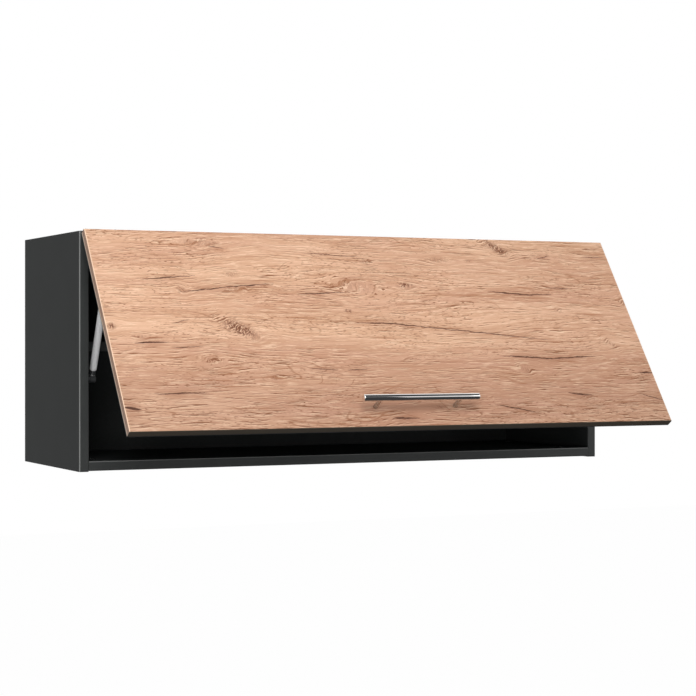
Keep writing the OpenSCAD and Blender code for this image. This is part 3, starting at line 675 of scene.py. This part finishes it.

# %% [markdown]
# The film ends at the door's rims. The sides get a darker strip of painted shade with a
# pale line of painted highlight, the front corner gets a painted highlight, the foot gets a
# painted shade, and the back is dark. These could be faces with materials of their own.
# The door stays one solid with one material, so its coordinates tell the rims apart.


# %% Rims of the door
def rim_layers(tree, colour, x, y, z):
    """Painted shade on the sides and the foot, painted highlights on a side line and the
    front corner, and a dark back.
    """
    inside = sum_of(tree, "SUBTRACT", DOOR_HALF, sum_of(tree, "ABSOLUTE", x))
    # Painted shade on the door's side faces.
    side = spread(tree, inside, 0.6 * MM, 0.2 * MM, 0.0, 0.80)
    colour = tint(tree, colour, side, OAK["side"])
    # Painted highlight: a pale line along each side face.
    line_y = DOOR_BACK_Y - 4.6 * MM
    painted_side_highlight = sum_of(tree, "ABSOLUTE", sum_of(tree, "SUBTRACT", y, line_y))
    painted_side_highlight = sum_of(tree, "MULTIPLY", spread(tree, painted_side_highlight, 1.2 * MM, 0.6 * MM), side)
    colour = tint(tree, colour, painted_side_highlight, OAK["side highlight"])
    # Painted highlight on the front corner's rounding.
    corner = sum_of(tree, "MULTIPLY", spread(tree, inside, 2.1 * MM, 1.4 * MM, 0.0, 0.7),
                    spread(tree, inside, 0.2 * MM, 0.5 * MM))
    colour = tint(tree, colour, corner, OAK["corner"])
    # Painted shade on the door's lower edge.
    foot = spread(tree, z, DOOR_FOOT_Z + 1.2 * MM, DOOR_FOOT_Z + 0.6 * MM)
    colour = tint(tree, colour, foot, OAK["foot"])
    back = spread(tree, y, DOOR_BACK_Y - 3.6 * MM, DOOR_BACK_Y - 3.2 * MM)
    return tint(tree, colour, back, OAK["back"])


print("rim layers ready")

# %% [markdown]
# The knots and a slow drift bend the height first, so tone, lines and pores all flow
# around the knots. Each layer could be bent by itself, but then they would not agree. The
# layers follow each other, and the pores, the knots' hearts and the cracks also tilt the
# surface a little.


# %% Oak finish
WOBBLE = 6 * MM         # how far a crack or a knot's outline strays
DRIFT = 45 * MM         # how far the grain strays over the door's width
PUSH_SHARE = 0.75


def oak_finish():
    """Grain runs along x at height z + drift - push; the layers are noises of it."""
    material, tree, shader, place = start_finish("oak", (0.62, 0.42, 0.29), 0.55)
    plane = door_plane(tree, place)
    x, y, z = add_node(tree, "SeparateXYZ", {0: plane}).outputs
    slow = grain_noise(tree, plane, 2.4, 7, 2.0)
    quick = grain_noise(tree, plane, 60, 90, 3.0)
    wobble = sum_of(tree, "MULTIPLY", sum_of(tree, "SUBTRACT", quick, 0.5), WOBBLE)
    spot = add_node(tree, "CombineXYZ", {0: x, 1: wobble, 2: z}).outputs[0]
    knots, push = place_knots(tree, spot)
    cracks, stain = place_cracks(tree, spot)
    drift = sum_of(tree, "MULTIPLY", sum_of(tree, "SUBTRACT", slow, 0.5), DRIFT)
    bent = sum_of(tree, "ADD", z, sum_of(tree, "SUBTRACT", drift, sum_of(
        tree, "MULTIPLY", push, PUSH_SHARE)))
    grain = add_node(tree, "CombineXYZ", {0: x, 1: y, 2: bent}).outputs[0]
    deeper = spread(tree, z, -0.20, -0.38, 0.0, 0.12)

    colour, tone = tone_layers(tree, grain, bent, deeper)
    colour, pores = pore_layers(tree, colour, grain, deeper)
    colour, heart, split = flaw_layers(tree, colour, grain, z, knots, cracks, stain)
    colour = rim_layers(tree, colour, x, y, z)
    tree.links.new(colour, shader.inputs["Base Color"])
    tree.links.new(spread(tree, tone, 0, 1, 0.60, 0.50), shader.inputs["Roughness"])
    hollow = sum_of(tree, "ADD", sum_of(tree, "ADD", pores, heart), split)
    add_bump(tree, shader, sum_of(tree, "SUBTRACT", 1.0, hollow), 0.3 * MM, 0.35)
    return material


oak = oak_finish()
print("oak nodes:", len(oak.node_tree.nodes))

# %% [markdown]
# The dowels are plain turned beech. They are hidden in the board, so the streaks group
# alone is enough, without pores or rings.


# %% Beech finish
def beech_finish():
    """Plain beech: short streaks along the dowel."""
    material, tree, shader, place = start_finish("beech", (0.60, 0.41, 0.25), 0.6)
    line = use_group(tree, streaks, {"Vector": place, "Scale": (90, 900, 900)})["Value"]
    colour = blend_colour(tree, spread(tree, line, *NOISE_MIDDLE), (0.52, 0.34, 0.20),
                          (0.66, 0.47, 0.30))
    tree.links.new(colour, shader.inputs["Base Color"])
    return material


beech = beech_finish()
print("beech made")

# %% [markdown]
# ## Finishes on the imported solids
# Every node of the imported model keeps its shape. Its record says which material slot it
# has, so one table from slot to finish dresses them all. Cast and pressed fittings are
# both plated, so their slots get the two plated finishes. The handle's posts share the
# slot of its bar, but they have a finish of their own.

# %% Dress the nodes
FINISHES = {
    "board": board, "back_board": hardboard, "edge_band": band, "beech": beech,
    "door_wood": oak, "zinc": nickel, "steel": zinc, "handle_metal": polished,
    "hanger_plastic": white_plastic, "socket_plastic": grey_plastic,
    "strut_paint": white_paint, "rod_steel": ground_rod, "buffer": soft_buffer}

for part in frame["record"]["subparts"]:
    mesh = nodes[part["node"]].data
    mesh.materials.clear()
    mesh.materials.append(FINISHES[part["material_slot"]])
nodes["handle_posts"].data.materials[0] = post_metal

# %% [markdown]
# ## Turned pieces
# The handle's bar and the struts' tubes are turned or drawn, and their gloss shows every
# facet. A finer cylinder could stand in for them, but it has no rounded ends. Each is made
# again as a smooth surface: a profile of distance and radius is carried around an axis.


# %% Turned surface
def turned(name, start, direction, profile, finish, around=64):
    """Point (s, a) is start + s * axis + r(s) * (cos a * side + sin a * up).

    profile is a list of (distance, radius) that starts and ends on the axis.
    """
    axis = np.array(direction, float) / np.linalg.norm(direction)
    side = np.cross(axis, (0, 0, 1) if abs(axis[2]) < 0.9 else (0, 1, 0))
    side /= np.linalg.norm(side)
    up = np.cross(axis, side)
    s, r = np.array(profile, float).T
    a = np.linspace(0, 2 * np.pi, around, endpoint=False)
    ring = np.cos(a)[:, None] * side + np.sin(a)[:, None] * up
    grid = np.array(start) + s[:, None, None] * axis + r[:, None, None] * ring
    rows = len(s)
    i, j = np.meshgrid(np.arange(rows - 1), np.arange(around), indexing="ij")
    k = (j + 1) % around
    quads = np.stack([i * around + j, i * around + k, (i + 1) * around + k,
                      (i + 1) * around + j], -1).reshape(-1, 4)
    mesh = bpy.data.meshes.new(name)
    mesh.from_pydata(grid.reshape(-1, 3).tolist(), [], quads.tolist())
    return close_mesh(name, mesh, finish)


def close_mesh(name, mesh, finish):
    """Merges the poles' doubles, turns the faces outwards and shades them smooth."""
    work = bmesh.new()
    work.from_mesh(mesh)
    bmesh.ops.remove_doubles(work, verts=work.verts, dist=1e-7)
    bmesh.ops.recalc_face_normals(work, faces=work.faces)
    work.to_mesh(mesh)
    work.free()
    mesh.polygons.foreach_set("use_smooth", np.ones(len(mesh.polygons), bool))
    mesh.materials.append(finish)
    piece = bpy.data.objects.new(name, mesh)
    bpy.context.scene.collection.objects.link(piece)
    return piece


def rounded_bar(length, radius, edge, steps=6):
    """Profile of a bar whose two edges are quarter circles of radius edge."""
    t = np.linspace(0, np.pi / 2, steps)
    first = np.stack([edge * (1 - np.cos(t)), radius - edge * (1 - np.sin(t))], 1)
    last = np.stack([length - first[::-1, 0], first[::-1, 1]], 1)
    return [(0, 0), *map(tuple, first), *map(tuple, last), (length, 0)]


print("turning helper ready")

# %% [markdown]
# The handle's bar is plain round steel with softly broken edges. It lies along the
# cabinet's width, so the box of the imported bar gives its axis, length and radius, and the
# two can't drift apart.


# %% Handle bar
BAR_EDGE = 1.8 * MM


def make_handle_bar():
    """A bar along +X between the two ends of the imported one."""
    low, high = (np.array(corner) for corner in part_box("handle_bar"))
    middle = (low + high) / 2
    radius = (high[1] - low[1]) / 2
    start = (low[0], middle[1], middle[2])
    bar = turned("handle_round_bar", start, (1, 0, 0),
                 rounded_bar(high[0] - low[0], radius, BAR_EDGE), polished, around=96)
    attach(bar, "door")
    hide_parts("handle_bar")
    return radius


print("handle bar radius in mm:", round(1000 * make_handle_bar(), 2))

# %% [markdown]
# A gas strut is a drawn tube, closed at one end and rolled over its guide at the other,
# where a shallow groove holds the guide. A plain cylinder would do from afar, but the
# groove and the rolled end catch the light. Its axis is the line from the lower ball along
# the slide's direction, the one the rod moves on. Distances start at the ball's middle.

# %% Gas struts
TUBE_START, TUBE_LENGTH, TUBE_RADIUS = 16 * MM, 111 * MM, 6 * MM
TUBE_ROUND = 3 * MM         # the closed end's rounding
TUBE_LIP = 1.2 * MM         # the rolled end's rounding
GROOVE_PLACE, GROOVE_HALF, GROOVE_DEPTH = 9 * MM, 1.6 * MM, 0.7 * MM


def tube_profile():
    """Closed round end, straight wall, rolled groove, and an edge turned in at the rod.

    The groove is GROOVE_DEPTH * (1 + cos(pi s)) / 2 deep, with s from -1 to 1 across it.
    """
    t = np.linspace(0, np.pi / 2, 8)
    bottom = np.stack([TUBE_ROUND * (1 - np.cos(t)),
                       TUBE_RADIUS - TUBE_ROUND * (1 - np.sin(t))], 1)
    s = np.linspace(-1, 1, 11)
    groove = np.stack([TUBE_LENGTH - GROOVE_PLACE + GROOVE_HALF * s,
                       TUBE_RADIUS - GROOVE_DEPTH * (0.5 + 0.5 * np.cos(np.pi * s))], 1)
    top = np.stack([TUBE_LENGTH - TUBE_LIP * (1 - np.sin(t)),
                    TUBE_RADIUS - TUBE_LIP * (1 - np.cos(t))], 1)
    curves = map(tuple, np.concatenate([bottom, groove, top]))
    return [(0, 0), *curves, (TUBE_LENGTH, 0)]


def strut_line(side):
    """The lower ball's middle and the direction from it to the upper ball."""
    low, high = (np.array(corner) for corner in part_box(side + "_strut_tube"))
    ball_low, ball_high = (np.array(corner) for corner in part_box(side + "_side_ball"))
    start = (ball_low + ball_high) / 2
    start[0] = (low[0] + high[0]) / 2
    joints = frame["record"]["behaviour"]["joints"]
    axis = next(j["axis"] for j in joints if j["name"] == side + "_strut_slide")
    return start, -np.array(axis, float)


for side in ("left", "right"):
    start, up = strut_line(side)
    tube = turned(side + "_drawn_tube", start + TUBE_START * up, up, tube_profile(),
                  white_paint)
    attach(tube, side + "_strut_cylinder")
    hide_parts(side + "_strut_tube")
    print(side, "tube from", np.round(1000 * start, 1), "mm")

# %% [markdown]
# The moulded socket at the strut's lower end is screwed on by its neck. The neck has
# three ribs for the fingers, and below them a spring ring keeps the ball from jumping out.
# Bump could show the ribs, but their outline is seen against the light tube, so they are
# real surfaces.

# %% Ribs and spring rings of the lower sockets
RIBS_START, RIBS_LENGTH, NECK_RADIUS = 9.2 * MM, 6.4 * MM, 4.6 * MM
RIBS, RIB_DEPTH = 3, 0.5 * MM
RING_START, RING_LENGTH, RING_RADIUS = 7.0 * MM, 1.4 * MM, 5.3 * MM
RING_EDGE = 0.6 * MM


def ribs_profile():
    """Radius NECK_RADIUS + RIB_DEPTH * (1 - cos(RIBS * 2 pi s)) / 2, s from 0 to 1."""
    s = np.linspace(0, 1, 37)
    radius = NECK_RADIUS + RIB_DEPTH / 2 * (1 - np.cos(RIBS * 2 * np.pi * s))
    curve = map(tuple, np.stack([RIBS_LENGTH * s, radius], 1))
    return [(0, 0), *curve, (RIBS_LENGTH, 0)]


for side in ("left", "right"):
    start, up = strut_line(side)
    ribs = turned(side + "_socket_ribs", start + RIBS_START * up, up, ribs_profile(),
                  grey_plastic, around=48)
    ring = turned(side + "_spring_ring", start + RING_START * up, up,
                  rounded_bar(RING_LENGTH, RING_RADIUS, RING_EDGE), nickel, around=48)
    for piece, slot_name in ((ribs, "socket_plastic"), (ring, "steel")):
        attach(piece, side + "_strut_cylinder")
    print(side, "socket dressed")

# %% [markdown]
# ## Floor, backdrop and light
# The cabinet hangs on a wall, so the floor is well below it. The world and the floor are
# white to the camera and in reflections, while the light they give the cabinet is soft
# and grey. A white floor alone would turn grey in the shade, and a glowing one would light
# the cabinet from below, so the kind of ray decides between the two.


# %% Floor and world
FLOOR_HEIGHT, FLOOR_HALF = -1.45, 9.0
FLOOR_GREY = (0.62, 0.62, 0.62)
FLOOR_GLOW = 0.985      # the rest of what the camera sees is the floor with its shadow
WORLD_LIGHT = 0.52


def is_seen(tree):
    """1 for camera, glossy and transmission rays, so that they meet the pale backdrop."""
    path = add_node(tree, "LightPath").outputs
    return sum_of(tree, "MAXIMUM", path["Is Camera Ray"], sum_of(
        tree, "MAXIMUM", path["Is Glossy Ray"], path["Is Transmission Ray"]))


def make_floor():
    """A pale square floor that glows softly for the camera but keeps its shadow."""
    mesh = bpy.data.meshes.new("floor")
    corners = [(FLOOR_HALF * x, FLOOR_HALF * y, FLOOR_HEIGHT)
               for x, y in ((-1, -1), (1, -1), (1, 1), (-1, 1))]
    mesh.from_pydata(corners, [], [(0, 1, 2, 3)])
    material = bpy.data.materials.new("floor")
    material.use_nodes = True
    tree = material.node_tree
    shader = tree.nodes["Principled BSDF"]
    shader.inputs["Base Color"].default_value = (*FLOOR_GREY, 1)
    shader.inputs["Roughness"].default_value = 0.9
    glow = add_node(tree, "Emission", {"Color": (1, 1, 1, 1), "Strength": 1.0})
    share = sum_of(tree, "MULTIPLY", is_seen(tree), FLOOR_GLOW)
    mix = add_node(tree, "MixShader", {
        0: share, 1: shader.outputs[0], 2: glow.outputs[0]})
    tree.links.new(mix.outputs[0], tree.nodes["Material Output"].inputs[0])
    mesh.materials.append(material)
    floor = bpy.data.objects.new("floor", mesh)
    scene.collection.objects.link(floor)


def make_world():
    """Grey light for the object, plain white for what the camera and metal see."""
    world = bpy.data.worlds.new("studio")
    world.use_nodes = True
    tree = world.node_tree
    tree.nodes.clear()
    light = add_node(tree, "Background", {
        "Color": (1, 1, 1, 1), "Strength": WORLD_LIGHT})
    seen = add_node(tree, "Background", {"Color": (1, 1, 1, 1), "Strength": 1.0})
    mix = add_node(tree, "MixShader", {
        0: is_seen(tree), 1: light.outputs[0], 2: seen.outputs[0]})
    add_node(tree, "OutputWorld", {0: mix.outputs[0]})
    scene.world = world


make_floor()
make_world()
print("floor and world made")

# %% [markdown]
# Polished metal shows what stands around it. In a white room a bright bar would have no
# shape, so a studio hangs a dark cloth in front of it, like half a tent. It is black at
# its upper edge, grey below and darker again towards the floor. The bar then shows a
# bright line, a dark one and a body that darkens downwards. Only reflections see this
# cloth: it neither shades the cabinet nor shows in the picture.


# %% Dark cloth for reflections
CLOTH_ROWS = [(1.0, -1.40), (-1.0, -1.40), (-4.2, -0.9), (-5.0, 1.0), (-4.2, 2.5),
              (-3.0, 3.2), (-0.6, 3.5)]
CLOTH_HALF = 3.5
CLOTH_DARK, CLOTH_GREY = (0.008, 0.008, 0.009), (0.34, 0.35, 0.37)


def make_cloth():
    """A sheet whose section is the line through the (y, z) rows."""
    mesh = bpy.data.meshes.new("dark_cloth")
    mesh.from_pydata(
        [(x, y, z) for y, z in CLOTH_ROWS for x in (-CLOTH_HALF, CLOTH_HALF)], [],
        [(i, i + 1, i + 3, i + 2) for i in range(0, 2 * len(CLOTH_ROWS) - 2, 2)])
    material = bpy.data.materials.new("dark_cloth")
    material.use_nodes = True
    tree = material.node_tree
    shader = tree.nodes["Principled BSDF"]
    height = add_node(tree, "SeparateXYZ", {
        0: add_node(tree, "TexCoord").outputs["Object"]}).outputs[2]
    grey = spread(tree, height, 3.2, 2.5)
    grey = sum_of(tree, "MULTIPLY", grey, spread(tree, height, -0.8, 2.6, 0.08, 1.0))
    tree.links.new(blend_colour(tree, grey, CLOTH_DARK, CLOTH_GREY),
                   shader.inputs["Base Color"])
    shader.inputs["Roughness"].default_value = 1.0
    mesh.materials.append(material)
    cloth = bpy.data.objects.new("dark_cloth", mesh)
    for rays in ("camera", "diffuse", "shadow", "transmission", "volume_scatter"):
        setattr(cloth, "visible_" + rays, False)
    scene.collection.objects.link(cloth)


make_cloth()
print("dark cloth hung")

# %% [markdown]
# Three square lamps light the cabinet: a broad one from the front left, a weaker one from
# the right, and a small one low down that reaches in under the door. A sun would give hard
# shadows, which a product picture avoids.


# %% Lamps
# name, place, the point it looks at, size in metres, power in watts
LAMPS = [
    ("key", (-0.9, -2.6, 1.3), (-0.2, -0.4, -0.2), 1.6, 51),
    ("fill", (2.4, -3.6, 0.6), (0.2, -0.4, -0.2), 2.0, 9),
    ("low", (-1.7, -3.2, -0.45), (-0.1, -0.2, -0.3), 0.7, 13)]


def add_lamp(name, place, aim, size, power):
    """A square area lamp that looks at a point."""
    data = bpy.data.lights.new(name, "AREA")
    data.size = size
    data.energy = power
    lamp = bpy.data.objects.new(name, data)
    lamp.location = place
    look = np.array(aim, float) - np.array(place, float)
    yaw = math.atan2(look[1], look[0]) - math.pi / 2
    pitch = math.acos(-look[2] / np.linalg.norm(look))
    lamp.rotation_euler = (pitch, 0, yaw)
    scene.collection.objects.link(lamp)


for lamp_row in LAMPS:
    add_lamp(*lamp_row)
print("lamps:", len(LAMPS))
